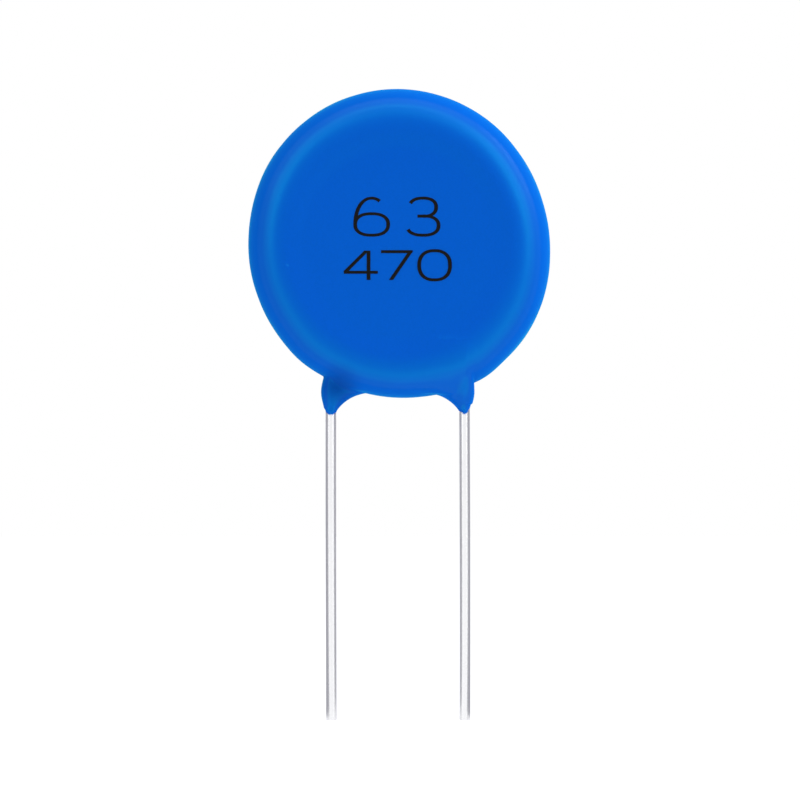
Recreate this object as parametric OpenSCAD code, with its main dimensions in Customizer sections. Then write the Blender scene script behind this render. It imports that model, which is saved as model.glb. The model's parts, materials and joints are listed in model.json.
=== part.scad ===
// Ceramic disc capacitor with two straight wire leads, dipped in epoxy.
// It stands upright: +Z is up, and -Y is the front.
// The origin is midway between the leads, on the seating plane at the tips of the coat's legs.

/* [Leads] */
// Distance between the two leads, centre to centre
lead_pitch = 7.5; // [6:0.5:9]
// Diameter of the tinned wire
wire_d = 0.6; // [0.5:0.05:0.7]
// Length of each lead below the seating plane
lead_length = 17.2; // [8:0.1:30]
// Length of each wire that lies over the silver
wire_on_silver = 7.6; // [6:0.2:9]
// Radius of the two bends that set each wire to its own face, on the wire's centre line
bend_r = 1; // [0.8:0.1:1.3]
// Height above the seating plane at which the first of those bends begins
bend_start = 0.05; // [0.05:0.05:0.4]
// How much the wire's radius thins where it is bent
bend_thinning = 0.01; // [0.005:0.005:0.03]

/* [Ceramic disc] */
// Diameter of the bare ceramic disc
ceramic_d = 15.4; // [14:0.2:17]
// Thickness of the ceramic disc
ceramic_t = 1.8; // [1.4:0.1:2.4]
// Radius of the tumbled edge of the ceramic
ceramic_edge_r = 0.25; // [0.1:0.05:0.5]

/* [Silver electrodes] */
// Bare ceramic left round each silver layer
silver_margin = 0.6; // [0.4:0.1:1]
// Thickness of each fired silver layer
silver_t = 0.03; // [0.02:0.01:0.06]

/* [Solder] */
// How far the solder spreads beside the wire
solder_reach = 0.75; // [0.65:0.05:0.95]
// Solder between the wire and the silver
solder_bed = 0.05; // [0.03:0.01:0.1]
// Solder over the back of the wire
solder_skin = 0.07; // [0.04:0.01:0.12]
// Angle at which the solder runs out on the silver, in degrees
solder_contact = 22; // [15:1:30]
// Solder past the cut end of the wire, before its rounded end
solder_past_end = 0.3; // [0.2:0.1:0.6]
// Bare silver below the lower end of the solder
solder_clear = 0.3; // [0.1:0.1:0.6]

/* [Epoxy coat] */
// Coat over the rim of the ceramic
rim_coat = 0.9; // [0.6:0.1:1.3]
// Coat over the soldered wires, which sets the thickness of the whole disc
wire_cover = 0.45; // [0.3:0.05:0.8]
// Height of the dipped disc's lowest point above the seating plane
stand_off = 0.95; // [0.7:0.05:1.3]
// Film of coat round the wire at the tip of a leg
tip_film = 0.06; // [0.04:0.01:0.1]
// Coat round the wire where a leg is fullest
leg_film = 0.26; // [0.2:0.02:0.32]
// Height above the seating plane at which a leg is fullest
leg_full_height = 1.25; // [0.9:0.05:1.5]
// Radius of the hollow between a leg and the underside of the disc
hollow_r = 2.3; // [1.8:0.1:2.8]
// Distance from a lead to the centre of its hollow, towards the other lead
hollow_offset = 2.17; // [1.8:0.05:2.5]
// How deep the hollow's circle bites into the outline of the disc
hollow_bite = 0.1; // [0.06:0.01:0.16]
// Half the thickness of the web at its root in the disc
web_root = 1.25; // [1:0.05:1.35]
// How far the web spreads behind the wire's axis, as a share of the leg's radius
web_back = 0.9; // [0.7:0.05:0.95]
// How far the web follows the wire towards its face, as a share of the wire's own shift
web_follow = 0.5; // [0.3:0.05:0.6]

/* [Hidden] */
$fn = 96;

lead_x = lead_pitch / 2;
wire_r = wire_d / 2;
ceramic_r = ceramic_d / 2;
silver_r = ceramic_r - silver_margin;

// The dipped disc
disc_r = ceramic_r + rim_coat;
disc_z = stand_off + disc_r;
solder_t = solder_bed + wire_d + solder_skin;
disc_t = ceramic_t + 2 * (silver_t + solder_t + wire_cover);

// Faces and heights that the wires follow
silver_y = ceramic_t / 2 + silver_t;
wire_y = silver_y + solder_bed + wire_r;
bend_end = disc_z - chord_half(ceramic_r, lead_x);
silver_z = disc_z - chord_half(silver_r, lead_x);
wire_top = silver_z + wire_on_silver;

// The slant between the two bends: its length and its lean from upright
slant_rise = bend_end - bend_start;
slant_length = sqrt(pow(slant_rise, 2) + pow(wire_y, 2) - 4 * bend_r * wire_y);
lean = atan2(wire_y - 2 * bend_r, slant_rise) + atan2(2 * bend_r, slant_length);

// Angle by which each bend runs on inside the straight stretches, which cover its thinner wire
bend_overrun = asin(5 * bend_thinning / bend_r);

// The solder's outline across the wire, and the ends of its run along the wire
solder_half = wire_r + solder_reach;
solder_low = disc_z - chord_half(silver_r - solder_half - solder_clear, lead_x);
solder_high = wire_top + solder_past_end;
flank_chord = sqrt(pow(solder_reach, 2) + pow(solder_t, 2));
flank_slope = atan2(solder_t, solder_reach);
flank_r = flank_chord / (2 * sin(flank_slope - solder_contact));
flank_centre = [
    solder_half + flank_r * sin(solder_contact),
    flank_r * cos(solder_contact)
];

// The hollow's circle and the corner where it meets the outline of the disc
hollow_x = lead_x - hollow_offset;
hollow_span = disc_r + hollow_r - hollow_bite;
hollow_z = disc_z - chord_half(hollow_span, hollow_x);
hollow_lean = asin(hollow_x / hollow_span);
corner_span = (pow(hollow_span, 2) + pow(disc_r, 2) - pow(hollow_r, 2)) / (2 * hollow_span);
corner_z = disc_z - corner_span * cos(hollow_lean)
    + chord_half(disc_r, corner_span) * sin(hollow_lean);

// The legs are lofted through level rings, evenly round the hollow and then up into the disc.
// Each is a sheath round its wire and a web that spreads from it, which starts one ring higher.
tip_angle = asin(-hollow_z / hollow_r);
corner_angle = asin((corner_z - hollow_z) / hollow_r);
leg_top = bend_end + wire_d;
hollow_steps = 12;
shank_steps = 8;
ring_points = 32;
leg_levels = [
    for (k = [0 : hollow_steps])
        hollow_z + hollow_r * sin(tip_angle + (corner_angle - tip_angle) * k / hollow_steps),
    for (k = [1 : shank_steps])
        corner_z + (leg_top - corner_z) * k / shank_steps
];

// Half the length of a circle's chord at a distance from its centre
function chord_half(radius, distance) = sqrt(pow(radius, 2) - pow(distance, 2));

// Depth of a bend's curve at a distance along its tangent
function bend_depth(along) = bend_r - chord_half(bend_r, along);

// How far the wire's centre line has moved towards its face at a height
function wire_shift(z) =
    let (
        bend_rise = bend_r * sin(lean),
        above = z - bend_start,
        below = bend_end - z
    )
    above <= 0 ? 0
    : below <= 0 ? wire_y
    : above < bend_rise ? bend_depth(above)
    : below < bend_rise ? wire_y - bend_depth(below)
    : bend_depth(bend_rise) + (above - bend_rise) * tan(lean);

// Radius of a leg round its wire at a height
function leg_r(z) =
    wire_r + tip_film
    + (leg_film - tip_film) * pow(sin(90 * min(1, z / leg_full_height)), 2);

// How far a leg reaches from its wire towards the hollow at a height
function leg_reach(z) = hollow_offset - chord_half(hollow_r, min(z, corner_z) - hollow_z);

// Half the thickness of the web at a height
function web_half(z) = wire_r + (web_root - wire_r) * pow(sin(90 * z / leg_top), 2);

// Ring of the sheath round the wire at a height
function sheath_ring(z) = [
    for (i = [0 : ring_points - 1])
        let (turn = 360 * i / ring_points)
        [lead_x + leg_r(z) * cos(turn), leg_r(z) * sin(turn) - wire_shift(z), z]
];

// Ring of the web at a height: an egg, blunt round the wire and long towards the hollow
function web_ring(z) = [
    for (i = [0 : ring_points - 1])
        let (
            turn = 360 * i / ring_points,
            span = cos(turn) > 0 ? web_back * leg_r(z) : leg_reach(z)
        )
        [lead_x + span * cos(turn), web_half(z) * sin(turn) - web_follow * wire_shift(z), z]
];

// Turns a shape to the rear of the disc, where the other lead is
module at_rear() {
    rotate([0, 0, 180]) children();
}

// Puts a shape made round the Z axis onto the disc's own axis
module on_disc_axis() {
    translate([0, 0, disc_z]) rotate([90, 0, 0]) children();
}

// Round plate about the Z axis with rounded edges
module round_plate(radius, thickness, edge_r) {
    rotate_extrude() {
        translate([0, -thickness / 2 + edge_r])
            square([radius, thickness - 2 * edge_r]);
        translate([0, -thickness / 2])
            square([radius - edge_r, thickness]);
        for (side = [-1, 1])
            translate([radius - edge_r, side * (thickness / 2 - edge_r)])
                circle(edge_r);
    }
}

// Plate about the Z axis whose whole rim is one round
module full_round_plate(radius, thickness) {
    rotate_extrude() {
        translate([0, -thickness / 2])
            square([radius - thickness / 2, thickness]);
        translate([radius - thickness / 2, 0])
            circle(thickness / 2);
    }
}

// Bend that leaves the origin upwards and turns towards the front, with its overrun at both ends
module wire_bend() {
    translate([0, -bend_r, 0]) rotate([90, 0, 90]) rotate([0, 0, -bend_overrun])
        rotate_extrude(angle = lean + 2 * bend_overrun)
            translate([bend_r, 0]) circle(wire_r - bend_thinning);
}

// Wire of the front lead, from its cut end up to its end on the silver
module wire() {
    translate([lead_x, 0, 0]) {
        translate([0, 0, -lead_length])
            cylinder(r = wire_r, h = lead_length + bend_start);
        translate([0, 0, bend_start]) wire_bend();
        translate([0, -bend_depth(bend_r * sin(lean)), bend_start + bend_r * sin(lean)])
            rotate([lean, 0, 0]) cylinder(r = wire_r, h = slant_length);
        translate([0, -wire_y, bend_end]) rotate([180, 0, 0]) wire_bend();
        translate([0, -wire_y, bend_end])
            cylinder(r = wire_r, h = wire_top - bend_end);
    }
}

// Outline of the solder across the wire, with a root through to the middle of the disc
module solder_outline() {
    difference() {
        polygon([
            [-solder_half, -silver_y], [solder_half, -silver_y], [solder_half, 0],
            [wire_r, solder_t], [-wire_r, solder_t], [-solder_half, 0]
        ]);
        for (side = [-1, 1])
            translate([side * flank_centre[0], flank_centre[1]]) circle(flank_r);
    }
}

// Solder of the front lead with its root, before the wire and the silver take their places
module solder_bead() {
    run = solder_high - solder_low;
    translate([lead_x, -silver_y, solder_low]) {
        linear_extrude(run) mirror([0, 1]) solder_outline();
        for (end = [0, 1])
            translate([0, 0, end * run]) rotate([90, 0, 0]) rotate_extrude()
                intersection() {
                    solder_outline();
                    translate([0, -silver_y]) square([solder_half, silver_y + solder_t]);
                }
    }
}

// Silver layer of the front face
module silver() {
    translate([0, -ceramic_t / 2, 0]) on_disc_axis() cylinder(r = silver_r, h = silver_t);
}

// Both silver layers and the ceramic between them, as one plain plate
module silvered_plate() {
    on_disc_axis() cylinder(r = silver_r, h = 2 * silver_y, center = true);
}

module ceramic() {
    on_disc_axis() round_plate(ceramic_r, ceramic_t, ceramic_edge_r);
}

// Solid through level rings, from the lowest up
module loft(rings) {
    spans = len(rings) - 1;
    sides = [for (k = [0 : spans - 1], i = [0 : ring_points - 1])
        let (
            low = k * ring_points,
            next = (i + 1) % ring_points,
            high = low + ring_points
        )
        each [[low + i, high + next, low + next], [low + i, high + i, high + next]]
    ];
    bottom = [for (i = [0 : ring_points - 1]) i];
    top = [for (i = [ring_points - 1 : -1 : 0]) spans * ring_points + i];
    polyhedron([for (ring = rings) each ring], concat(sides, [bottom, top]));
}

// Leg of coat on the front lead, solid through to the inside of the disc
module leg() {
    loft([for (z = leg_levels) sheath_ring(z)]);
    loft([for (k = [1 : len(leg_levels) - 1]) web_ring(leg_levels[k])]);
}

module epoxy_coating() {
    color("royalblue") difference() {
        union() {
            on_disc_axis() full_round_plate(disc_r, disc_t);
            leg();
            at_rear() leg();
        }
        ceramic();
        silvered_plate();
        solder_bead();
        at_rear() solder_bead();
        wire();
        at_rear() wire();
    }
}

module ceramic_disc() {
    color("tan") ceramic();
}

module front_electrode() {
    color("gainsboro") silver();
}

module rear_electrode() {
    color("gainsboro") at_rear() silver();
}

module front_solder() {
    color("darkgray") difference() {
        solder_bead();
        silvered_plate();
        wire();
    }
}

module rear_solder() {
    at_rear() front_solder();
}

module front_lead() {
    color("silver") wire();
}

module rear_lead() {
    color("silver") at_rear() wire();
}

epoxy_coating();
ceramic_disc();
front_electrode();
rear_electrode();
front_solder();
rear_solder();
front_lead();
rear_lead();
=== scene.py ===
"""Ceramic disc capacitor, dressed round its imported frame.

The dipped coat is meshed from one signed field, the leads are swept along their real route with
the bends that set them to the disc, and the marking is ink laid on the coat. The geometry classes
work in millimetres in the part's own frame, and every mesh is made in metres.
"""

import json
import logging
import math
from collections.abc import Mapping, Sequence
from dataclasses import dataclass, field
from enum import Enum
from typing import Any

import bpy
import numpy as np
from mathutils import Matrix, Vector
from numpy.typing import NDArray


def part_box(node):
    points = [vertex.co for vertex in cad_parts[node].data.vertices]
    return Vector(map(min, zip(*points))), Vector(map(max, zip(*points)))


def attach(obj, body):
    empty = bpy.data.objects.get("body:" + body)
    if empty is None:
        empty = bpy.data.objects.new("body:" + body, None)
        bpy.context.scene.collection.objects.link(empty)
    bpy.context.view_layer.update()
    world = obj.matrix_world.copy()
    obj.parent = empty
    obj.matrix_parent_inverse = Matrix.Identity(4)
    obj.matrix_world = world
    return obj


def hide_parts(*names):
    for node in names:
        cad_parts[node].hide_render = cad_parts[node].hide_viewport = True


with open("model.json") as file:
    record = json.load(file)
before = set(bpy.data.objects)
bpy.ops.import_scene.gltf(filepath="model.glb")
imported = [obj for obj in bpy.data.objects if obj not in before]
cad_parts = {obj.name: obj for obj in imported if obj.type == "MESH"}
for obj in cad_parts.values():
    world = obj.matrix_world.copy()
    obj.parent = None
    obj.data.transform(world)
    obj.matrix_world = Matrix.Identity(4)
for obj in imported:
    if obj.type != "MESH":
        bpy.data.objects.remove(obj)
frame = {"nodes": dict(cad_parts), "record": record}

Array = NDArray[np.float64]
Indices = NDArray[np.int64]
Point = tuple[float, float]
Colour = tuple[float, float, float]
Socket = bpy.types.NodeSocket
Inputs = Mapping[str | int, Socket | float | Colour]

MM = 0.001
BODY = "root"
WHITE: Colour = (1.0, 1.0, 1.0)
BLACK: Colour = (0.0, 0.0, 0.0)

# Stretch of a noise within which a colour or a value changes
COLOUR_SPAN: Point = (0.25, 0.75)
VALUE_SPAN: Point = (0.2, 0.8)

# Least points of a stroke of the marking, and degrees between the points of its ovals
STROKE_POINTS = 12
OVAL_STEP = 5.0

log = logging.getLogger("capacitor")


def smooth_step(value: Array, low: float, high: float) -> Array:
    """Ease from 0 at one value to 1 at another.

    Args:
        value: Where to read the step.
        low: Where the step starts.
        high: Where the step ends.

    Returns:
        The eased share, from 0 to 1.
    """
    share = np.clip((value - low) / (high - low), 0.0, 1.0)
    return share * share * (3.0 - 2.0 * share)


def smooth_min(one: Array, other: Array, fillet: Array | float) -> Array:
    """Join two fields with a soft fillet between them.

    Args:
        one: Values of the first field.
        other: Values of the second field.
        fillet: Difference of the fields within which they blend.

    Returns:
        Values of the joined field.
    """
    share = np.clip(0.5 + 0.5 * (other - one) / fillet, 0.0, 1.0)
    return other + (one - other) * share - fillet * share * (1.0 - share)


class Side(Enum):
    """Face of the disc that a wire is soldered to, as a direction along Y."""

    FRONT = -1.0
    REAR = 1.0


@dataclass(frozen=True)
class PartSizes:
    """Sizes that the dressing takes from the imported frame, in millimetres."""

    lead_x: float
    wire_r: float
    lead_low: float
    wire_top: float
    wire_y: float
    disc_r: float
    disc_t: float
    disc_z: float
    ceramic_r: float

    @classmethod
    def from_frame(cls, record: dict[str, Any]) -> "PartSizes":
        """Read the sizes from the record's mount and the boxes of the CAD nodes.

        Args:
            record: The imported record.

        Returns:
            The sizes.
        """
        dims = next(m["dims"] for m in record["mounts"] if m["name"] == "leads")
        nodes = ("epoxy_coating", "front_lead", "ceramic_disc")
        coat, lead, ceramic = (np.array(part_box(node)) / MM for node in nodes)
        disc_r = (coat[1][0] - coat[0][0]) / 2.0
        return cls(
            lead_x=dims["spacing_x_mm"] / 2.0,
            wire_r=dims["stud_r_mm"],
            lead_low=float(lead[0][2]),
            wire_top=float(lead[1][2]),
            wire_y=float(-lead[0][1] - dims["stud_r_mm"]),
            disc_r=float(disc_r),
            disc_t=float(coat[1][1] - coat[0][1]),
            disc_z=float(coat[1][2] - disc_r),
            ceramic_r=float(ceramic[1][0] - ceramic[0][0]) / 2.0,
        )


@dataclass(frozen=True)
class WireRoute:
    """Centre line of a lead, straight and then set to its own face of the disc by two bends."""

    shift: float
    end: float
    start: float = 0.05
    bend_r: float = 1.0

    @classmethod
    def for_part(cls, sizes: PartSizes) -> "WireRoute":
        """Return the route whose second bend ends level with the rim of the ceramic."""
        rise = math.sqrt(sizes.ceramic_r**2 - sizes.lead_x**2)
        return cls(shift=sizes.wire_y, end=sizes.disc_z - rise)

    @property
    def lean(self) -> float:
        """Solve the slant that joins the two bends.

        Returns:
            Its lean from upright, in radians.
        """
        rise = self.end - self.start
        both = 2.0 * self.bend_r
        slant = math.sqrt(rise**2 + self.shift**2 - 2.0 * both * self.shift)
        return math.atan2(self.shift - both, rise) + math.atan2(both, slant)

    def offset(self, z: Array) -> Array:
        """Read how far the wire has moved towards its face.

        Args:
            z: Heights above the seating plane.

        Returns:
            The offsets, from 0 to the whole shift.
        """
        rise = self.bend_r * math.sin(self.lean)
        low = np.clip(z - self.start, 0.0, rise)
        high = np.clip(self.end - z, 0.0, rise)
        between = np.clip(z - self.start - rise, 0.0, self.end - self.start - 2.0 * rise)
        low_depth = self.bend_r - np.sqrt(self.bend_r**2 - low**2)
        high_depth = self.bend_r - np.sqrt(self.bend_r**2 - high**2)
        full_depth = self.bend_r * (1.0 - math.cos(self.lean))
        return low_depth + between * math.tan(self.lean) + full_depth - high_depth


@dataclass(frozen=True)
class Leg:
    """One leg of coat, where the dip ran down a wire and set as a meniscus.

    The web is the part that spreads from the wire to the underside of the disc.
    """

    lead_x: float
    side: Side
    hollow_offset: float
    neck_r: float
    blunt: float
    wire_r: float
    nick_depth: float = 0.0
    nick_top: float = 0.57
    nick_fade: float = 0.08
    film: float = 0.035
    full_r: float = 0.555
    full_z: float = 1.25
    edge_slope: float = 0.88
    edge_width: float = 0.5
    edge_fade: Point = (-0.02, 0.1)
    edge_sink: float = 0.03
    edge_low: float = -0.12
    hollow_r: float = 2.3
    hollow_z: float = -1.16
    run_out: float = 14.0
    reach_most: float = 3.1
    root_half: float = 1.45
    follow: float = 0.3
    join: float = 0.12
    root_z: float = 3.2
    top_z: float = 3.6
    top_slope: float = 0.6

    def reach(self, z: Array) -> Array:
        """Read how far the web spreads from the wire towards the other lead.

        The hollow's arc runs out into a straight slope that creeps along the rim.

        Args:
            z: Heights above the seating plane.

        Returns:
            The reach at each height.
        """
        angle = math.radians(self.run_out)
        top_z = self.hollow_z + self.hollow_r * math.cos(angle)
        top_reach = self.hollow_offset - self.hollow_r * math.sin(angle)
        level = np.clip(z, 0.0, top_z) - self.hollow_z
        arc = self.hollow_offset - np.sqrt(self.hollow_r**2 - level**2)
        slope = top_reach + (z - top_z) / math.tan(angle)
        return np.minimum(np.where(z < top_z, arc, slope), self.reach_most)

    def sheath_r(self, z: Array, above: Array, outward: Array) -> Array:
        """Read the radius of the coat round the wire.

        Args:
            z: Heights above the seating plane.
            above: Heights above the ragged lower edge of the coat.
            outward: Distances from the wire away from the other lead.

        Returns:
            The radius, which sinks into the wire below the edge.
        """
        thin = self.wire_r + self.film
        swell = np.sin(0.5 * math.pi * np.clip(z / self.full_z, 0.0, 2.0)) ** 2
        foot = np.where(z < self.full_z, thin, self.neck_r)
        radius = foot + (self.full_r - foot) * swell
        nick = 1.0 - smooth_step(z, self.nick_top - self.nick_fade, self.nick_top)
        radius = radius - self.nick_depth * nick * smooth_step(outward, 0.0, self.wire_r)
        edge = 1.0 - smooth_step(above, *self.edge_fade)
        return radius - (radius - self.wire_r + self.edge_sink) * edge

    def field(self, x: Array, y: Array, z: Array, route: WireRoute) -> Array:
        """Read the signed field of the leg.

        Args:
            x: Positions from the rear lead to the front lead.
            y: Positions from the front to the rear.
            z: Heights above the seating plane.
            route: Route of the wire inside the leg.

        Returns:
            Values below zero inside the leg.
        """
        inward = -math.copysign(1.0, self.lead_x) * (x - self.lead_x)
        across_tip = np.clip(np.abs(inward) - self.blunt, 0.0, self.edge_width)
        above = z - self.edge_slope * across_tip
        radius = self.sheath_r(z, above, -inward)
        wire_y = self.side.value * route.offset(z)
        sheath = np.hypot(inward, y - wire_y) - radius
        rise = np.sin(0.5 * math.pi * np.clip(z / self.root_z, 0.0, 1.0)) ** 2
        half = radius + (self.root_half - radius) * rise
        inner = np.maximum(self.reach(z), radius)
        spread = np.where(inward > 0.0, inner, radius)
        across = np.hypot(inward / spread, (y - self.follow * wire_y) / half)
        web = (across - 1.0) * np.minimum(inner, half)
        leg = np.maximum(smooth_min(sheath, web, self.join), self.edge_low - above)
        return np.maximum(leg, self.top_slope * (z - self.top_z))


@dataclass(frozen=True)
class Swells:
    """Slow swells of the coat: a wave along X and Z, and a slanting one across it."""

    height: float = 0.012
    wave: Point = (0.83, 0.71)
    wave_start: float = 0.4
    wave_by_face: Point = (1.1, -0.6)
    cross: Point = (0.52, 1.37)
    cross_by_face: float = 1.9
    cross_share: float = 0.5

    def __call__(self, x: Array, z: Array, face: Array) -> Array:
        """Read the swells.

        Args:
            x: Positions from the rear lead to the front lead.
            z: Heights above the seating plane.
            face: Side of each point, -1 at the front and 1 at the rear.

        Returns:
            How far the surface lies below its plain form.
        """
        along = np.sin(self.wave[0] * x + self.wave_by_face[0] * face + self.wave_start)
        up = np.cos(self.wave[1] * z + self.wave_by_face[1] * face)
        slant = np.sin(self.cross[1] * z + self.cross[0] * x + self.cross_by_face * face)
        return self.height * (along * up + slant * self.cross_share)


@dataclass(frozen=True)
class CoatField:
    """Signed field of the dipped coat, below zero inside, in millimetres."""

    sizes: PartSizes
    route: WireRoute
    legs: tuple[Leg, ...]
    centre_x: float = 0.106
    centre_drop: float = 0.05
    oval: float = 0.149
    oval_turn: float = math.radians(115.0)
    lobe: float = 0.049
    lobe_turn: float = math.radians(82.4)
    square: float = 0.027
    square_turn: float = math.radians(49.0)
    sags: tuple[tuple[float, float, float], ...] = (
        (math.radians(-57.5), math.radians(7.0), 0.1),
        (math.radians(-131.0), math.radians(9.0), 0.06),
    )
    dish: float = 0.13
    crest_r: float = 6.5
    dish_r: float = 5.2
    swells: Swells = Swells()
    fillet_side: float = 0.05
    fillet_face: float = 0.6
    fillet_grows: Point = (0.3, 1.0)
    corner_width: Point = (-0.75, 0.45)
    corner_height: Point = (1.9, 3.6)

    def rim_r(self, angle: Array) -> Array:
        """Read the radius of the outline, which the dip left a little out of round.

        Args:
            angle: Angles round the disc's middle, from X towards Z.

        Returns:
            The radius at each angle.
        """
        radius = (
            self.sizes.disc_r
            + self.oval * np.cos(2.0 * (angle - self.oval_turn))
            + self.lobe * np.cos(3.0 * (angle - self.lobe_turn))
            + self.square * np.cos(4.0 * (angle - self.square_turn))
        )
        for turn, width, height in self.sags:
            radius = radius + height * np.exp(-(((angle - turn) / width) ** 2))
        return radius

    def half_thickness(self, radius: Array) -> Array:
        """Return half the thickness of the flat: full at the crest and dished inside it."""
        sunk = 1.0 - smooth_step(radius, self.dish_r, self.crest_r)
        return self.sizes.disc_t / 2.0 - self.dish * sunk

    def from_middle(self, x: Array, z: Array) -> tuple[Array, Array]:
        """Return how far points lie across and up from the disc's middle."""
        return x - self.centre_x, z - (self.sizes.disc_z - self.centre_drop)

    def disc(self, x: Array, y: Array, z: Array) -> Array:
        """Read the signed field of the dipped disc without its legs.

        Args:
            x: Positions from the rear lead to the front lead.
            y: Positions from the front to the rear.
            z: Heights above the seating plane.

        Returns:
            Values below zero inside the disc.
        """
        dx, dz = self.from_middle(x, z)
        radius = np.hypot(dx, dz)
        round_r = self.sizes.disc_t / 2.0
        beyond = radius - (self.rim_r(np.arctan2(dz, dx)) - round_r)
        flat = np.abs(y) - self.half_thickness(radius)
        rim = np.hypot(np.maximum(beyond, 0.0), y) - round_r
        return np.where(beyond > 0.0, rim, flat) + self.swells(x, z, np.sign(y))

    def __call__(self, x: Array, y: Array, z: Array) -> Array:
        """Read the field of the whole coat.

        Args:
            x: Positions from the rear lead to the front lead.
            y: Positions from the front to the rear.
            z: Heights above the seating plane.

        Returns:
            Values below zero inside the coat.
        """
        outer = smooth_step(np.abs(x) - self.sizes.lead_x, *self.corner_width)
        corner = outer * (1.0 - smooth_step(z, *self.corner_height))
        face = smooth_step(np.abs(y), *self.fillet_grows) * (1.0 - corner)
        fillet = self.fillet_side + (self.fillet_face - self.fillet_side) * face
        value = self.disc(x, y, z)
        for leg in self.legs:
            value = smooth_min(value, leg.field(x, y, z, self.route), fillet)
        return value

    def front_y(self, x: Array, z: Array) -> Array:
        """Return where the front face lies along Y, near its middle."""
        half = self.half_thickness(np.hypot(*self.from_middle(x, z)))
        return self.swells(x, z, np.full_like(x, -1.0)) - half

    def gradient(self, points: Array, step: float = 0.004) -> Array:
        """Measure the field's slope.

        Args:
            points: Points, one row each.
            step: Distance between the two readings along each axis.

        Returns:
            The slope at each point, one row each.
        """
        slope = np.empty_like(points)
        for axis in range(3):
            offset = np.zeros(3)
            offset[axis] = step / 2.0
            ahead = self(*(points + offset).T)
            behind = self(*(points - offset).T)
            slope[:, axis] = (ahead - behind) / step
        return slope


@dataclass(frozen=True)
class GridAxis:
    """Grid lines along one axis, closer together inside the fine bands."""

    low: float
    high: float
    coarse: float
    fine: float
    bands: tuple[Point, ...]
    planes: tuple[float, ...] = ()

    def lines(self) -> Array:
        """Space the grid lines.

        Returns:
            Their positions along the axis.
        """
        edges = (edge for band in self.bands for edge in band)
        stops = sorted({self.low, self.high, *edges, *self.planes})
        runs = []
        for start, end in zip(stops, stops[1:]):
            middle = (start + end) / 2.0
            in_band = any(low < middle < high for low, high in self.bands)
            count = math.ceil((end - start) / (self.fine if in_band else self.coarse))
            runs.append(np.linspace(start, end, count, endpoint=False))
        return np.concatenate([*runs, [self.high]])


class FieldMesher:
    """Meshes the zero level of a field with one vertex in each cell that it crosses."""

    def __init__(self, surface: CoatField, axes: Sequence[GridAxis]) -> None:
        """Read the field on the grid.

        Args:
            surface: The field to mesh.
            axes: The grid along X, Y and Z.
        """
        self.surface = surface
        self.lines = [axis.lines() for axis in axes]
        self.values = surface(*np.meshgrid(*self.lines, indexing="ij"))

    def _crossed(self, axis: int) -> tuple[Indices, Array, Array]:
        """Find the grid's edges along an axis that the surface crosses.

        Args:
            axis: The axis, from 0 to 2.

        Returns:
            The grid point at each edge's low end, and the field at its low and high ends.
        """
        low = np.delete(self.values, -1, axis)
        high = np.delete(self.values, 0, axis)
        edges = np.argwhere((low < 0.0) != (high < 0.0))
        at = tuple(edges.T)
        return edges, low[at], high[at]

    def _cell_points(self) -> tuple[Array, Indices]:
        """Average the crossings of each cell's edges.

        Returns:
            The points, and for each cell the number of its point or -1.
        """
        cells = tuple(n - 1 for n in self.values.shape)
        total = np.zeros((*cells, 3))
        count = np.zeros(cells)
        for axis in range(3):
            edges, low, high = self._crossed(axis)
            crossing = np.stack([self.lines[k][edges[:, k]] for k in range(3)], axis=1)
            gap = self.lines[axis][edges[:, axis] + 1] - self.lines[axis][edges[:, axis]]
            crossing[:, axis] += gap * low / (low - high)
            others = [k for k in range(3) if k != axis]
            for back in ((0, 0), (0, 1), (1, 0), (1, 1)):
                cell = edges.copy()
                cell[:, others] -= back
                where = tuple(cell.T)
                np.add.at(total, where, crossing)
                np.add.at(count, where, 1.0)
        number = np.full(cells, -1, dtype=np.int64)
        used = count > 0.0
        number[used] = np.arange(int(used.sum()))
        return total[used] / count[used][:, None], number

    def _quads(self, number: Indices) -> Indices:
        """Join the four cells round each crossed edge, with the face turned outwards.

        Args:
            number: For each cell the number of its point or -1.

        Returns:
            Point numbers of each face, one row each.
        """
        faces = []
        for axis in range(3):
            edges, low, _ = self._crossed(axis)
            others = [(axis + 1) % 3, (axis + 2) % 3]
            corners = []
            for back in ((1, 1), (0, 1), (0, 0), (1, 0)):
                cell = edges.copy()
                cell[:, others] -= back
                corners.append(number[tuple(cell.T)])
            quad = np.stack(corners, axis=1)
            faces.append(np.where(low[:, None] < 0.0, quad, quad[:, ::-1]))
        return np.concatenate(faces)

    def build(self, settles: int = 4, flattest: float = 0.05) -> tuple[Array, Indices, Array]:
        """Mesh the surface and settle its points on the exact field.

        Args:
            settles: Steps that move each point along the field's slope.
            flattest: Least square of the slope that a step reckons with.

        Returns:
            The points, the quads and the normals.
        """
        points, number = self._cell_points()
        most = max(float(np.diff(line).max()) for line in self.lines) / 2.0
        for _ in range(settles):
            slope = self.surface.gradient(points)
            square = np.maximum((slope**2).sum(axis=1), flattest)
            move = -slope * (self.surface(*points.T) / square)[:, None]
            reach = np.maximum(np.linalg.norm(move, axis=1) / most, 1.0)
            points = points + move / reach[:, None]
        normals = self.surface.gradient(points)
        normals /= np.linalg.norm(normals, axis=1)[:, None]
        return points, self._quads(number), normals


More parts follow.
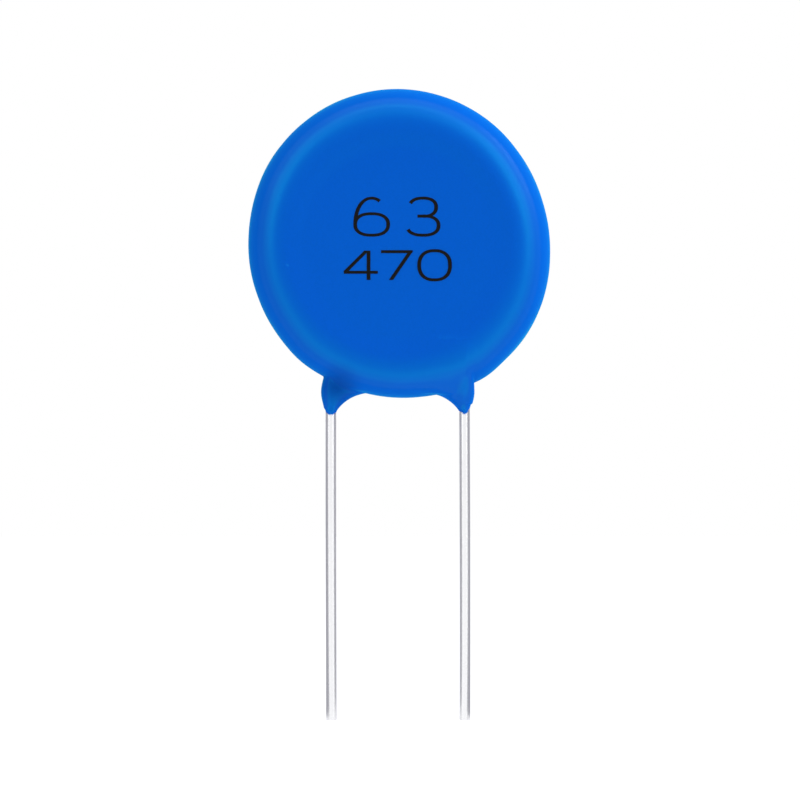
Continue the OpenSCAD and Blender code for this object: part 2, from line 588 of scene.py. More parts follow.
class Nodes:
    """Node tree of a material or of the surroundings, with short calls to add and feed nodes."""

    def __init__(self, owner: bpy.types.Material | bpy.types.World) -> None:
        """Take the tree of a material or a world.

        Args:
            owner: What the tree belongs to.
        """
        owner.use_nodes = True
        self.tree = owner.node_tree

    def feed(self, node: bpy.types.Node, inputs: Inputs) -> None:
        """Link outputs of other nodes to a node, and set its constants.

        Args:
            node: The node to feed.
            inputs: Outputs and constants, each under the name or number of its input.
        """
        for key, value in inputs.items():
            socket = node.inputs[key]
            if isinstance(value, bpy.types.NodeSocket):
                self.tree.links.new(value, socket)
            else:
                socket.default_value = (*value, 1.0) if socket.type == "RGBA" else value

    def add(self, kind: str, inputs: Inputs | None = None, **settings: Any) -> bpy.types.Node:
        """Add a node.

        Args:
            kind: Blender's name of the node type.
            inputs: Outputs and constants that feed the node.
            **settings: Properties of the node.

        Returns:
            The node.
        """
        node = self.tree.nodes.new(kind)
        for key, value in settings.items():
            setattr(node, key, value)
        self.feed(node, inputs or {})
        return node


def scaled(colour: Colour, factor: float) -> Colour:
    """Return a colour made lighter or darker by a factor."""
    return (colour[0] * factor, colour[1] * factor, colour[2] * factor)


class Shader(Nodes):
    """Material with one Principled surface, and short calls for the textures of the finishes."""

    def __init__(self, name: str) -> None:
        """Start a material.

        Args:
            name: Name of the material.
        """
        self.material = bpy.data.materials.new(name)
        super().__init__(self.material)
        self.surface = self.tree.nodes["Principled BSDF"]
        self.place = self.add("ShaderNodeTexCoord").outputs["Object"]

    def dress(self, inputs: Inputs) -> None:
        """Feed the surface with outputs and constants."""
        self.feed(self.surface, inputs)

    def noise(self, per_mm: float, detail: float, stretch: Colour = WHITE) -> Socket:
        """Add noise in the part's own frame.

        Args:
            per_mm: Features in a millimetre.
            detail: Octaves of finer noise.
            stretch: Factors on the coordinates, less than 1 to draw the noise out.

        Returns:
            The noise, from 0 to 1.
        """
        mapping = self.add("ShaderNodeMapping", {"Scale": stretch, "Vector": self.place})
        inputs = {"Scale": per_mm / MM, "Detail": detail, "Vector": mapping.outputs["Vector"]}
        return self.add("ShaderNodeTexNoise", inputs).outputs["Fac"]

    def ranged(self, value: Socket, start: Point, end: Point) -> Socket:
        """Ease a value from one range into another.

        Args:
            value: The value.
            start: Range that it is read in.
            end: Range that it is brought to.

        Returns:
            The value in its new range.
        """
        names = ("From Min", "From Max", "To Min", "To Max")
        inputs = {"Value": value, **dict(zip(names, (*start, *end)))}
        ranged = self.add("ShaderNodeMapRange", inputs, interpolation_type="SMOOTHSTEP")
        return ranged.outputs["Result"]

    def ramp(self, share: Socket, stops: Sequence[tuple[float, Colour]]) -> Socket:
        """Read a colour from a ramp.

        Args:
            share: Where to read the ramp, from 0 to 1.
            stops: Places along the ramp, each with its colour.

        Returns:
            The colour.
        """
        ramp = self.add("ShaderNodeValToRGB", {"Fac": share})
        line = ramp.color_ramp
        line.interpolation = "EASE"
        while len(line.elements) < len(stops):
            line.elements.new(1.0)
        for element, (place, colour) in zip(line.elements, stops):
            element.position = place
            element.color = (*colour, 1.0)
        return ramp.outputs["Color"]

    def colour_between(self, noise: Socket, low: Colour, high: Colour) -> Socket:
        """Return a colour that runs from low to high with noise."""
        return self.ramp(noise, tuple(zip(COLOUR_SPAN, (low, high))))

    def toned(self, noise: Socket, colour: Colour, tone: float) -> Socket:
        """Return a colour that noise makes darker and lighter by a share of itself."""
        return self.colour_between(noise, scaled(colour, 1.0 - tone), scaled(colour, 1.0 + tone))

    def value_between(self, noise: Socket, ends: Point) -> Socket:
        """Return a value that runs from one end to the other with noise."""
        return self.ranged(noise, VALUE_SPAN, ends)

    def by_turn(self, stops: Sequence[Point]) -> Socket:
        """Return a value that changes from face on, at 0, to edge on, at 1."""
        facing = self.add("ShaderNodeLayerWeight").outputs["Facing"]
        return self.ramp(facing, [(turn, scaled(WHITE, value)) for turn, value in stops])

    def near(self, line: Point, reach: Point, shares: Point) -> Socket:
        """Read a share that changes with the distance from a line along Y.

        Args:
            line: Where the line is along X and Z, in millimetres.
            reach: Distances between which the share changes.
            shares: The share at each of the two.

        Returns:
            The share.
        """
        flat = self.add("ShaderNodeMapping", {"Scale": (1.0, 0.0, 1.0), "Vector": self.place})
        ends = {0: flat.outputs["Vector"], 1: (line[0] * MM, 0.0, line[1] * MM)}
        away = self.add("ShaderNodeVectorMath", ends, operation="DISTANCE")
        return self.ranged(away.outputs["Value"], (reach[0] * MM, reach[1] * MM), shares)

    def mixed(self, share: Socket, under: Socket, over: Colour) -> Socket:
        """Return a colour with a share of another laid over it."""
        inputs = {"Fac": share, "Color1": under, "Color2": over}
        return self.add("ShaderNodeMixRGB", inputs).outputs["Color"]

    def bump(self, heights: Sequence[tuple[Socket, float]]) -> None:
        """Lay bump on the surface.

        Args:
            heights: Height textures, each with its depth in millimetres.
        """
        under: dict[str, Socket] = {}
        for height, depth in heights:
            inputs = {"Distance": depth * MM, "Height": height, **under}
            under = {"Normal": self.add("ShaderNodeBump", inputs).outputs["Normal"]}
        self.dress(under)


@dataclass(frozen=True)
class EpoxyFinish:
    """Blue dipped epoxy: smooth, softly glossy, with a fine orange peel.

    Painted highlight makes the rim a lighter blue than the faces, and painted shade makes the
    rear leg under the disc a darker blue without gloss.
    """

    name: str = "dipped_epoxy"
    colour: Colour = (0.0022, 0.09, 0.65)
    # Painted shade: the darker blue laid on the rear leg under the disc.
    painted_shade_colour: Colour = (0.002, 0.058, 0.36)
    # Painted highlight: the lighter blue laid on the rim.
    painted_highlight_colour: Colour = (0.0022, 0.122, 0.67)
    middle: Point = (0.1, 9.5)
    painted_highlight_reach: Point = (6.1, 7.7)
    # Painted shade: centre, reach and depth of the darker blue on the rear leg.
    painted_shade: Point = (-3.35, 1.5)
    painted_shade_reach: float = 1.6
    painted_shade_depth: float = 0.78
    tone: float = 0.03
    roughness: Point = (0.27, 0.32)
    gloss_tint: Colour = (0.01, 0.95, 1.0)
    gloss: tuple[Point, ...] = ((0.01, 0.5), (0.08, 0.8), (0.14, 0.6), (0.24, 0.14), (0.38, 0.0))
    sheen: float = 0.46
    sheen_roughness: float = 0.34
    sheen_tint: Colour = (0.06, 0.95, 0.75)
    cloud_per_mm: float = 0.35
    grain_per_mm: float = 9.0
    peel_per_mm: float = 1.6
    detail: float = 2.0
    peel_depth: float = 0.006
    grain_depth: float = 0.0008

    def make(self) -> bpy.types.Material:
        """Build the material.

        Returns:
            The material.
        """
        shader = Shader(self.name)
        cloud = shader.noise(self.cloud_per_mm, self.detail)
        grain = shader.noise(self.grain_per_mm, self.detail)
        peel = shader.noise(self.peel_per_mm, self.detail)
        # Painted highlight: the base colour turns lighter from the faces out to the rim.
        rim = shader.near(self.middle, self.painted_highlight_reach, (0.0, 1.0))
        # Painted shade: a darker blue with no gloss, round a point on the rear leg under the
        # disc.
        painted_shade = shader.near(self.painted_shade, (0.0, self.painted_shade_reach), (self.painted_shade_depth, 0.0))
        colour = shader.mixed(rim, shader.toned(grain, self.colour, self.tone), self.painted_highlight_colour)
        shader.dress({
            "Base Color": shader.mixed(painted_shade, colour, self.painted_shade_colour),
            "Roughness": shader.value_between(cloud, self.roughness),
            "Specular IOR Level": shader.mixed(painted_shade, shader.by_turn(self.gloss), BLACK),
            "Specular Tint": self.gloss_tint,
            "Sheen Weight": self.sheen,
            "Sheen Roughness": self.sheen_roughness,
            "Sheen Tint": self.sheen_tint,
        })
        shader.bump(((peel, self.peel_depth), (grain, self.grain_depth)))
        return shader.material


@dataclass(frozen=True)
class MetalFinish:
    """Metal with its own edge colour, mottling and drawn or rippled surface."""

    name: str
    colour: Colour
    edge_colour: Colour
    tone: float
    roughness: Point
    mottle_per_mm: float
    ripple_per_mm: float
    ripple_depth: float
    detail: float = 3.0
    stretch: Colour = WHITE

    def make(self) -> bpy.types.Material:
        """Build the material.

        Returns:
            The material.
        """
        shader = Shader(self.name)
        mottle = shader.noise(self.mottle_per_mm, self.detail, self.stretch)
        ripple = shader.noise(self.ripple_per_mm, self.detail, self.stretch)
        shader.dress({
            "Base Color": shader.toned(mottle, self.colour, self.tone),
            "Roughness": shader.value_between(mottle, self.roughness),
            "Metallic": 1.0,
            "Specular Tint": self.edge_colour,
        })
        shader.bump(((ripple, self.ripple_depth),))
        return shader.material


@dataclass(frozen=True)
class GrainFinish:
    """Dull surface with a grain in its colour, for fired ceramic and printed ink."""

    name: str
    dark: Colour
    light: Colour
    roughness: Point
    grain_per_mm: float
    grain_depth: float
    detail: float = 4.0
    specular: float = 0.3

    def make(self) -> bpy.types.Material:
        """Build the material.

        Returns:
            The material.
        """
        shader = Shader(self.name)
        grain = shader.noise(self.grain_per_mm, self.detail)
        shader.dress({
            "Base Color": shader.colour_between(grain, self.dark, self.light),
            "Roughness": shader.value_between(grain, self.roughness),
            "Specular IOR Level": self.specular,
        })
        shader.bump(((grain, self.grain_depth),))
        return shader.material


TINNED_WIRE = MetalFinish(
    name="tinned_wire",
    colour=(0.87, 0.87, 0.89),
    edge_colour=(0.7, 0.7, 0.78),
    tone=0.015,
    roughness=(0.24, 0.28),
    mottle_per_mm=3.0,
    ripple_per_mm=12.0,
    ripple_depth=0.0006,
    stretch=(1.0, 1.0, 0.05),
)
FIRED_SILVER = MetalFinish(
    name="fired_silver",
    colour=(0.8, 0.79, 0.76),
    edge_colour=(0.9, 0.9, 0.9),
    tone=0.05,
    roughness=(0.5, 0.65),
    mottle_per_mm=2.5,
    ripple_per_mm=20.0,
    ripple_depth=0.002,
)
SOLDER = MetalFinish(
    name="solder",
    colour=(0.56, 0.56, 0.57),
    edge_colour=(0.8, 0.8, 0.8),
    tone=0.08,
    roughness=(0.22, 0.4),
    mottle_per_mm=1.4,
    ripple_per_mm=1.8,
    ripple_depth=0.02,
)
CERAMIC = GrainFinish(
    name="fired_ceramic",
    dark=(0.46, 0.33, 0.22),
    light=(0.6, 0.46, 0.33),
    roughness=(0.6, 0.75),
    grain_per_mm=6.0,
    grain_depth=0.004,
)
INK = GrainFinish(
    name="marking_ink",
    dark=(0.006, 0.006, 0.006),
    light=(0.009, 0.009, 0.009),
    roughness=(0.45, 0.6),
    grain_per_mm=12.0,
    grain_depth=0.001,
    specular=0.06,
)


def add_piece(
    name: str,
    points: Array,
    faces: Sequence[Sequence[int]],
    material: bpy.types.Material,
) -> bpy.types.Object:
    """Make a mesh piece that rides on the part's body.

    Args:
        name: Name of the piece.
        points: Points in millimetres, one row each.
        faces: Point numbers of each face.
        material: Finish of the piece.

    Returns:
        The piece.
    """
    mesh = bpy.data.meshes.new(name)
    mesh.from_pydata((points * MM).tolist(), [], faces)
    mesh.materials.append(material)
    piece = bpy.data.objects.new(name, mesh)
    bpy.context.scene.collection.objects.link(piece)
    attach(piece, BODY)
    return piece


@dataclass
class DippedCoat:
    """The blue coat, with its dished faces, uneven rim and two legs."""

    sizes: PartSizes
    route: WireRoute
    finish: EpoxyFinish = EpoxyFinish()
    coarse: float = 0.12
    fine: float = 0.055
    fine_side: float = 0.8
    fine_top: float = 2.0
    margin: float = 0.35
    clear: float = 0.04

    def surface(self) -> CoatField:
        """Shape the coat.

        Returns:
            The field that the coat is meshed from.
        """
        wire_r = self.sizes.wire_r
        front = Leg(
            lead_x=self.sizes.lead_x,
            side=Side.FRONT,
            hollow_offset=2.2,
            neck_r=0.5,
            blunt=0.0,
            wire_r=wire_r,
            nick_depth=0.08,
        )
        rear = Leg(
            lead_x=-self.sizes.lead_x,
            side=Side.REAR,
            hollow_offset=2.22,
            neck_r=0.36,
            blunt=0.12,
            wire_r=wire_r,
        )
        return CoatField(self.sizes, self.route, (front, rear))

    def planes(self) -> tuple[float, ...]:
        """Place grid planes clear of the flats, which a plane in them would cut to slivers.

        Returns:
            The planes' positions along Y.
        """
        crest = self.sizes.disc_t / 2.0
        dished = crest - self.surface().dish
        depths = (dished - self.clear, dished + self.clear, crest + self.clear)
        return tuple(side * depth for side in (-1.0, 1.0) for depth in depths)

    def grid(self) -> tuple[GridAxis, ...]:
        """Lay out the meshing grid, which is fine round the legs.

        Returns:
            The grid along X, Y and Z.
        """
        wide = self.sizes.disc_r + self.margin
        deep = self.sizes.disc_t / 2.0 + self.margin
        top = self.sizes.disc_z + wide
        side = self.fine_side
        leads = (-self.sizes.lead_x, self.sizes.lead_x)
        across = tuple((lead - side, lead + side) for lead in leads)
        through = ((-side, side),)
        up = ((-self.margin, self.fine_top),)
        return (
            GridAxis(-wide, wide, self.coarse, self.fine, across),
            GridAxis(-deep, deep, self.coarse, self.fine, through, self.planes()),
            GridAxis(-self.margin, top, self.coarse, self.fine, up),
        )

    def build(self) -> bpy.types.Object:
        """Mesh the coat and put it in the place of its CAD node.

        Returns:
            The coat.
        """
        points, quads, normals = FieldMesher(self.surface(), self.grid()).build()
        piece = add_piece("dipped_coat", points, quads.tolist(), self.finish.make())
        piece.data.shade_smooth()
        piece.data.normals_split_custom_set_from_vertices(normals.tolist())
        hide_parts("epoxy_coating")
        return piece


@dataclass
class Lead:
    """A tinned wire, from its square-cut end up to its end on the silver."""

    node: str
    side: Side
    sizes: PartSizes
    route: WireRoute
    material: bpy.types.Material
    drift: float
    bow: float
    sides: int = 40
    straight_step: float = 0.4
    bend_step: float = 0.08
    cut_round: float = 0.03
    drift_back: float = 0.6
    sharp_from: float = math.radians(30.0)

    def heights(self) -> Array:
        """Space the rings, closer together through the bends.

        Returns:
            Their heights, from the cut end up.
        """
        low = self.sizes.lead_low + self.cut_round
        high = self.sizes.wire_top - self.cut_round
        stretches = (
            (low, self.route.start, self.straight_step, False),
            (self.route.start, self.route.end, self.bend_step, False),
            (self.route.end, high, self.straight_step, True),
        )
        return np.concatenate([
            np.linspace(start, end, round((end - start) / step), endpoint=last)
            for start, end, step, last in stretches
        ])

    def centres(self, z: Array) -> Array:
        """Trace the wire's centre line, which wanders a little below the coat.

        Args:
            z: Heights above the seating plane.

        Returns:
            The points of the line, one row each.
        """
        below = np.clip(z / self.sizes.lead_low, 0.0, 1.0)
        wander = self.drift * smooth_step(below, 0.0, 1.0) + self.bow * np.sin(math.pi * below)
        x = -self.side.value * self.sizes.lead_x + wander
        y = self.side.value * self.route.offset(z) + self.drift_back * wander
        return np.stack([x, y, z], axis=1)

    def points(self) -> Array:
        """Sweep a ring along the centre line, with a smaller one at each cut.

        Returns:
            The points, ring after ring.
        """
        z = self.heights()
        centres = self.centres(z)
        turn = np.linspace(0.0, 2.0 * math.pi, self.sides, endpoint=False)[None, :, None]
        tangent = np.gradient(centres, z, axis=0)
        tangent /= np.linalg.norm(tangent, axis=1)[:, None]
        across = np.cross(tangent, [1.0, 0.0, 0.0])
        across /= np.linalg.norm(across, axis=1)[:, None]
        level = np.cross(across, tangent)
        rim = np.cos(turn) * level[:, None] + np.sin(turn) * across[:, None]
        rings = centres[:, None] + self.sizes.wire_r * rim
        ends = []
        for index, way in ((0, -1.0), (-1, 1.0)):
            small = (self.sizes.wire_r - self.cut_round) * rim[index]
            ends.append(centres[index] + small + way * self.cut_round * tangent[index])
        return np.concatenate([ends[0][None], rings, ends[1][None]]).reshape(-1, 3)

    def faces(self, count: int) -> list[list[int]]:
        """Join the rings and close both ends.

        Args:
            count: Number of rings.

        Returns:
            Point numbers of each face.
        """
        faces = []
        for ring in range(count - 1):
            low, high = ring * self.sides, (ring + 1) * self.sides
            for k in range(self.sides):
                after = (k + 1) % self.sides
                faces.append([low + k, low + after, high + after, high + k])
        faces.append(list(range(self.sides))[::-1])
        faces.append([(count - 1) * self.sides + k for k in range(self.sides)])
        return faces

    def build(self) -> bpy.types.Object:
        """Mesh the wire and put it in the place of its CAD node.

        Returns:
            The wire.
        """
        points = self.points()
        faces = self.faces(len(points) // self.sides)
        piece = add_piece(f"{self.node}_wire", points, faces, self.material)
        piece.data.shade_smooth()
        piece.data.set_sharp_from_angle(angle=self.sharp_from)
        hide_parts(self.node)
        return piece


@dataclass(frozen=True)
class Pen:
    """The marking's pen, wider in upright strokes than in level ones."""

    upright: float = 0.21
    level: float = 0.16

    def half(self, normals: Array) -> Array:
        """Return half the stroke's width along each normal."""
        return 0.5 * np.hypot(self.upright * normals[:, 0], self.level * normals[:, 1])


@dataclass
class StrokeSet:
    """Outlines of the strokes of a marking, each as two rows of matching points."""

    pen: Pen = Pen()
    strips: list[tuple[Array, Array, bool]] = field(default_factory=list)

    def curve(self, path: Array, closed: bool = False) -> None:
        """Add a stroke of the pen along a path.

        Args:
            path: Points of the path, one row each.
            closed: Whether the path returns to its start.
        """
        if closed:
            tangent = np.roll(path, -1, axis=0) - np.roll(path, 1, axis=0)
        else:
            tangent = np.gradient(path, axis=0)
        tangent /= np.linalg.norm(tangent, axis=1)[:, None]
        normals = np.stack([-tangent[:, 1], tangent[:, 0]], axis=1)
        offset = normals * self.pen.half(normals)[:, None]
        self.strips.append((path + offset, path - offset, closed))

    def bar(self, start: Point, end: Point) -> None:
        """Add a straight stroke whose ends are cut level, or upright if it is level itself.

        Args:
            start: Middle of the first end.
            end: Middle of the second end.
        """
        path = np.linspace(start, end, STROKE_POINTS)
        run, rise = end[0] - start[0], end[1] - start[1]
        length = math.hypot(run, rise)
        if math.isclose(start[1], end[1]):
            offset = np.array([0.0, self.pen.level / 2.0])
        else:
            normal = np.array([[-rise / length, run / length]])
            offset = np.array([float(self.pen.half(normal)[0]) * length / abs(rise), 0.0])
        self.strips.append((path + offset, path - offset, False))


@dataclass(frozen=True)
class Cell:
    """Box of one digit, whose strokes' middle lines run inside its edges."""

    left: float
    right: float
    low: float
    high: float

    def at(self, across: float, up: float) -> Point:
        """Return the point at shares of the box's width and height."""
        wide, tall = self.right - self.left, self.high - self.low
        return (self.left + wide * across, self.low + tall * up)

    def arc(
        self, middle: Point, half: Point, start: float, end: float, power: float = 2.35
    ) -> Array:
        """Trace part of an oval with slightly squared shoulders.

        Args:
            middle: Centre of the oval, in shares of the box.
            half: Half its width and height, in shares of the box.
            start: Angle of the first point, in degrees from the right.
            end: Angle of the last point.
            power: Power of the oval, where 2 is an ellipse.

        Returns:
            The points, one row each.
        """
        count = max(STROKE_POINTS, round(abs(end - start) / OVAL_STEP))
        turn = np.radians(np.linspace(start, end, count))
        across, up = (
            np.sign(wave) * np.abs(wave) ** (2.0 / power) for wave in (np.cos(turn), np.sin(turn))
        )
        x = self.left + (self.right - self.left) * (middle[0] + half[0] * across)
        z = self.low + (self.high - self.low) * (middle[1] + half[1] * up)
        return np.stack([x, z], axis=1)


class Digit(Enum):
    """Plain digits that the marking is made of."""

    ZERO = 0
    THREE = 3
    FOUR = 4
    SIX = 6
    SEVEN = 7

    def draw(self, cell: Cell, strokes: StrokeSet) -> None:
        """Draw the digit.

        Args:
            cell: Box that the digit fills.
            strokes: Strokes that the digit adds to.
        """
        if self is Digit.ZERO:
            oval = cell.arc((0.5, 0.5), (0.5, 0.5), 0.0, 360.0)
            strokes.curve(oval[:-1], closed=True)
        elif self is Digit.THREE:
            strokes.curve(cell.arc((0.48, 0.755), (0.44, 0.245), 158.0, -90.0))
            strokes.curve(cell.arc((0.48, 0.26), (0.52, 0.26), 90.0, -160.0))
            strokes.bar(cell.at(0.3, 0.515), cell.at(0.5, 0.515))
        elif self is Digit.FOUR:
            strokes.bar(cell.at(0.68, 1.0), cell.at(0.03, 0.29))
            strokes.bar(cell.at(-0.03, 0.26), cell.at(1.03, 0.26))
            strokes.bar(cell.at(0.74, 0.0), cell.at(0.74, 1.0))
        elif self is Digit.SIX:
            bowl = cell.arc((0.5, 0.29), (0.5, 0.29), 0.0, 360.0)
            strokes.curve(bowl[:-1], closed=True)
            strokes.curve(cell.arc((0.5, 0.29), (0.5, 0.71), 180.0, 62.0, 2.1))
        else:
            strokes.bar(cell.at(-0.03, 0.965), cell.at(1.0, 0.965))
            strokes.bar(cell.at(0.96, 1.0), cell.at(0.3, 0.0))


@dataclass
class Marking:
    """Two rows of plain numbers, printed in black on the front face."""

    coat: CoatField
    material: bpy.types.Material
    raised: float = 0.01
    layer: float = 0.0012
    sunk: float = 0.02

    def rows(self) -> tuple[tuple[Cell, Digit], ...]:
        """Set the two rows.

        Returns:
            The box of each digit, with its digit.
        """
        top_low, top_high = 9.95, 12.02
        low, high = 7.46, 9.09
        return (
            (Cell(-2.37, -0.53, top_low, top_high), Digit.SIX),
            (Cell(0.6, 2.28, top_low, top_high), Digit.THREE),
            (Cell(-2.95, -1.16, low, high), Digit.FOUR),
            (Cell(-0.88, 0.82, low, high), Digit.SEVEN),
            (Cell(1.2, 2.92, low, high), Digit.ZERO),
        )

    def build(self) -> bpy.types.Object:
        """Lay the strokes on the coat as thin solid strips.

        Returns:
            The marking.
        """
        strokes = StrokeSet()
        for cell, digit in self.rows():
            digit.draw(cell, strokes)
        points: list[Array] = []
        faces: list[list[int]] = []
        for number, (left, right, closed) in enumerate(strokes.strips):
            depth = self.raised + number * self.layer
            self._add_strip(left, right, closed, depth, points, faces)
        return add_piece("marking", np.concatenate(points), faces, self.material)

    def _add_strip(
        self,
        left: Array,
        right: Array,
        closed: bool,
        depth: float,
        points: list[Array],
        faces: list[list[int]],
    ) -> None:
        """Add one stroke as a closed strip of ink.

        Args:
            left: Points along one edge.
            right: Matching points along the other edge.
            closed: Whether the strip is a ring.
            depth: Height of the ink on the coat, which parts strokes that cross.
            points: Rows of points that the strip adds to.
            faces: Faces that the strip adds to.
        """
        start = sum(len(rows) for rows in points)
        count = len(left)
        sides = ((left, -depth), (right, -depth), (right, self.sunk), (left, self.sunk))
        for edge, offset in sides:
            y = self.coat.front_y(edge[:, 0], edge[:, 1]) + offset
            points.append(np.stack([edge[:, 0], y, edge[:, 1]], axis=1))
        for k in range(count if closed else count - 1):
            after = (k + 1) % count
            for row in range(4):
                low = start + row * count
                high = start + (row + 1) % 4 * count
                faces.append([low + k, low + after, high + after, high + k])
        if not closed:
            faces.append([start + row * count for row in range(4)])
            faces.append([start + row * count + count - 1 for row in range(3, -1, -1)])


@dataclass
class HeldPieces:
    """The pieces that the coat hides, which keep their CAD solids and get their finishes."""

    nodes: dict[str, bpy.types.Object]

    def dress(self) -> list[bpy.types.Object]:
        """Give each hidden CAD node its finish.

        Returns:
            The nodes.
        """
        silver = FIRED_SILVER.make()
        solder = SOLDER.make()
        finishes = {
            "ceramic_disc": (CERAMIC.make(), "dielectric"),
            "front_electrode": (silver, "fired_silver"),
            "rear_electrode": (silver, "fired_silver"),
            "front_solder": (solder, "solder"),
            "rear_solder": (solder, "solder"),
        }
        for name, (material, slot) in finishes.items():
            mesh = self.nodes[name].data
            mesh.materials.clear()
            mesh.materials.append(material)
        return [self.nodes[name] for name in finishes]


@dataclass(frozen=True)
class Softbox:
    """An area lamp that faces the part, placed by its direction from it."""

    name: str
    azimuth: float
    elevation: float
    width: float
    height: float
    light: float
    distance: float = 0.3

    def build(self, target: Vector) -> None:
        """Make the lamp.

        The light is the brightness of a white surface that faces the lamp.

        Args:
            target: Point that the lamp faces, in metres.
        """
        around, up = math.radians(self.azimuth), math.radians(self.elevation)
        way = Vector((
            math.sin(around) * math.cos(up),
            -math.cos(around) * math.cos(up),
            math.sin(up),
        ))
        lamp = bpy.data.lights.new(self.name, "AREA")
        lamp.shape = "RECTANGLE"
        lamp.size = self.width
        lamp.size_y = self.height
        lamp.energy = self.light * (math.pi * self.distance) ** 2
        box = bpy.data.objects.new(self.name, lamp)
        box.location = target + way * self.distance
        box.rotation_mode = "QUATERNION"
        box.rotation_quaternion = way.to_track_quat("Z", "Y")
        box.visible_camera = False
        bpy.context.scene.collection.objects.link(box)


def add_panel(name: str, corners: Sequence[Sequence[float]]) -> tuple[bpy.types.Object, Nodes]:
    """Make a flat panel for the studio, whose material has no nodes yet.

    Args:
        name: Name of the panel and its material.
        corners: Its four corners, in metres.

    Returns:
        The panel and the nodes of its material.
    """
    mesh = bpy.data.meshes.new(name)
    mesh.from_pydata(corners, [], [(0, 1, 2, 3)])
    material = bpy.data.materials.new(name)
    mesh.materials.append(material)
    panel = bpy.data.objects.new(name, mesh)
    bpy.context.scene.collection.objects.link(panel)
    nodes = Nodes(material)
    nodes.tree.nodes.clear()
    return panel, nodes


@dataclass(frozen=True)
class GreyCard:
    """A grey card that leans out from the part's foot, seen in reflections alone.

    It gives the bright wires their darker edges, as a photographer's cards do.
    """

    name: str
    azimuths: Point
    near: float = 0.008
    above_floor: float = 0.05 * MM
    far: float = 0.36
    height: float = 0.13
    colour: Colour = (0.4, 0.4, 0.432)

    def build(self, floor_z: float) -> None:
        """Make the card.

        Args:
            floor_z: Height of the floor, in metres.
        """
        turns = [math.radians(azimuth) for azimuth in self.azimuths]
        first, second = (Vector((math.sin(turn), -math.cos(turn), 0.0)) for turn in turns)
        foot = Vector((0.0, 0.0, floor_z + self.above_floor))
        top = Vector((0.0, 0.0, floor_z + self.height))
        low = (foot + first * self.near, foot + second * self.near)
        high = (top + second * self.far, top + first * self.far)
        card, nodes = add_panel(self.name, (*low, *high))
        glow = nodes.add("ShaderNodeEmission", {"Color": self.colour})
        nodes.add("ShaderNodeOutputMaterial", {"Surface": glow.outputs[0]})
        card.visible_camera = False
        card.visible_diffuse = False
        card.visible_transmission = False
        card.visible_shadow = False


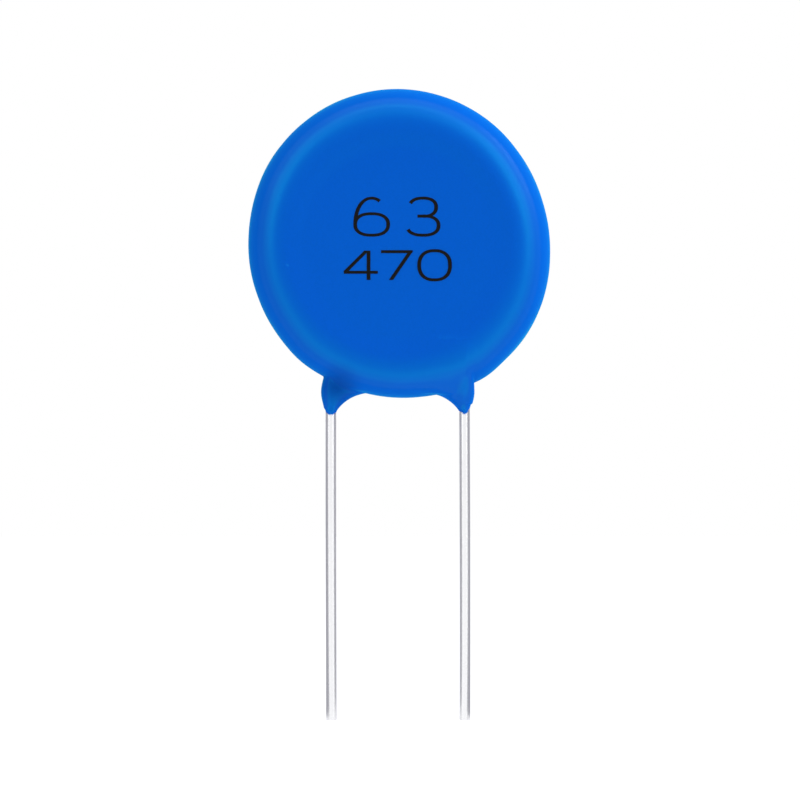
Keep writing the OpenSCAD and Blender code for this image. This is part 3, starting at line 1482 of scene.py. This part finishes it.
@dataclass
class Studio:
    """White studio: camera at the photograph's angle, softboxes, floor and surroundings."""

    sizes: PartSizes
    picture_width: float = 0.04492
    picture_middle: Point = (0.00013, 0.00076)
    camera_distance: float = 0.3
    clip_start: float = 0.01
    sensor: float = 36.0
    ambient: float = 0.26
    floor_size: float = 0.8
    floor_bounce: float = 0.85
    floor_shade: float = 0.12
    floor_glow: float = 0.98
    boxes: tuple[Softbox, ...] = (
        Softbox("top_box", 180.0, 88.0, 0.35, 0.35, 0.75),
        Softbox("right_box", 70.0, 28.0, 0.3, 0.3, 0.5),
        Softbox("left_box", -65.0, 28.0, 0.3, 0.3, 0.3),
        Softbox("edge_box", 105.0, 35.0, 0.16, 0.16, 0.4),
    )
    cards: tuple[GreyCard, ...] = (
        GreyCard("left_card", (-62.0, -140.0)),
        GreyCard("right_card", (62.0, 140.0)),
    )

    def build(self) -> None:
        """Build the whole studio."""
        bpy.context.scene.view_settings.view_transform = "Standard"
        self._camera()
        self._world()
        self._floor()
        middle = Vector((0.0, 0.0, self.sizes.disc_z * MM))
        for box in self.boxes:
            box.build(middle)
        for card in self.cards:
            card.build(self.sizes.lead_low * MM)

    def _camera(self) -> None:
        """Place the camera square in front of the part."""
        lens = bpy.data.cameras.new("photo_camera")
        lens.sensor_width = self.sensor
        lens.lens = self.sensor * self.camera_distance / self.picture_width
        lens.clip_start = self.clip_start
        camera = bpy.data.objects.new("photo_camera", lens)
        camera.location = (self.picture_middle[0], -self.camera_distance, self.picture_middle[1])
        camera.rotation_euler = (math.pi / 2.0, 0.0, 0.0)
        bpy.context.scene.collection.objects.link(camera)
        bpy.context.scene.camera = camera

    def _shown(self, nodes: Nodes, light: Socket, shown: Socket) -> Socket:
        """Mix a shader that lights the part with one that is looked at.

        Args:
            nodes: Tree that the mix is added to.
            light: Shader that lights the part.
            shown: Shader that the camera, a reflection or a refraction sees.

        Returns:
            The mixed shader.
        """
        path = nodes.add("ShaderNodeLightPath")
        seen = path.outputs["Is Camera Ray"]
        for name in ("Is Glossy Ray", "Is Transmission Ray"):
            both = {0: seen, 1: path.outputs[name]}
            seen = nodes.add("ShaderNodeMath", both, operation="MAXIMUM").outputs[0]
        return nodes.add("ShaderNodeMixShader", {"Fac": seen, 1: light, 2: shown}).outputs[0]

    def _world(self) -> None:
        """Make the surroundings white to look at and dimmer as light."""
        world = bpy.data.worlds.new("white_studio")
        bpy.context.scene.world = world
        nodes = Nodes(world)
        shown = nodes.tree.nodes["Background"]
        nodes.feed(shown, {"Color": WHITE, "Strength": 1.0})
        light = nodes.add("ShaderNodeBackground", {"Color": WHITE, "Strength": self.ambient})
        surface = self._shown(nodes, light.outputs[0], shown.outputs[0])
        nodes.feed(nodes.tree.nodes["World Output"], {"Surface": surface})

    def _floor(self) -> None:
        """Lay the floor at the ends of the leads, white to look at but for the shadow."""
        half = self.floor_size / 2.0
        low = self.sizes.lead_low * MM
        corners = [(-half, -half, low), (half, -half, low), (half, half, low), (-half, half, low)]
        floor, nodes = add_panel("floor", corners)
        light = nodes.add("ShaderNodeBsdfDiffuse", {"Color": scaled(WHITE, self.floor_bounce)})
        shade = nodes.add("ShaderNodeBsdfDiffuse", {"Color": scaled(WHITE, self.floor_shade)})
        glow = nodes.add("ShaderNodeEmission", {"Strength": self.floor_glow})
        shown = nodes.add("ShaderNodeAddShader", {0: shade.outputs[0], 1: glow.outputs[0]})
        surface = self._shown(nodes, light.outputs[0], shown.outputs[0])
        nodes.add("ShaderNodeOutputMaterial", {"Surface": surface})


def main() -> None:
    """Build the dressed capacitor and its studio."""
    logging.basicConfig(level=logging.INFO, format="%(name)s: %(message)s")
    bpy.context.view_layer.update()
    sizes = PartSizes.from_frame(frame["record"])
    route = WireRoute.for_part(sizes)
    coat = DippedCoat(sizes, route)
    wire = TINNED_WIRE.make()
    pieces = [
        coat.build(),
        Lead("front_lead", Side.FRONT, sizes, route, wire, drift=0.02, bow=0.02).build(),
        Lead("rear_lead", Side.REAR, sizes, route, wire, drift=0.035, bow=-0.01).build(),
        Marking(coat.surface(), INK.make()).build(),
        *HeldPieces(frame["nodes"]).dress(),
    ]
    for piece in pieces:
        faces = len(piece.data.polygons)
        log.info("%s: %d faces of %s", piece.name, faces, piece.active_material.name)
    Studio(sizes).build()


if __name__ == "__main__":
    main()
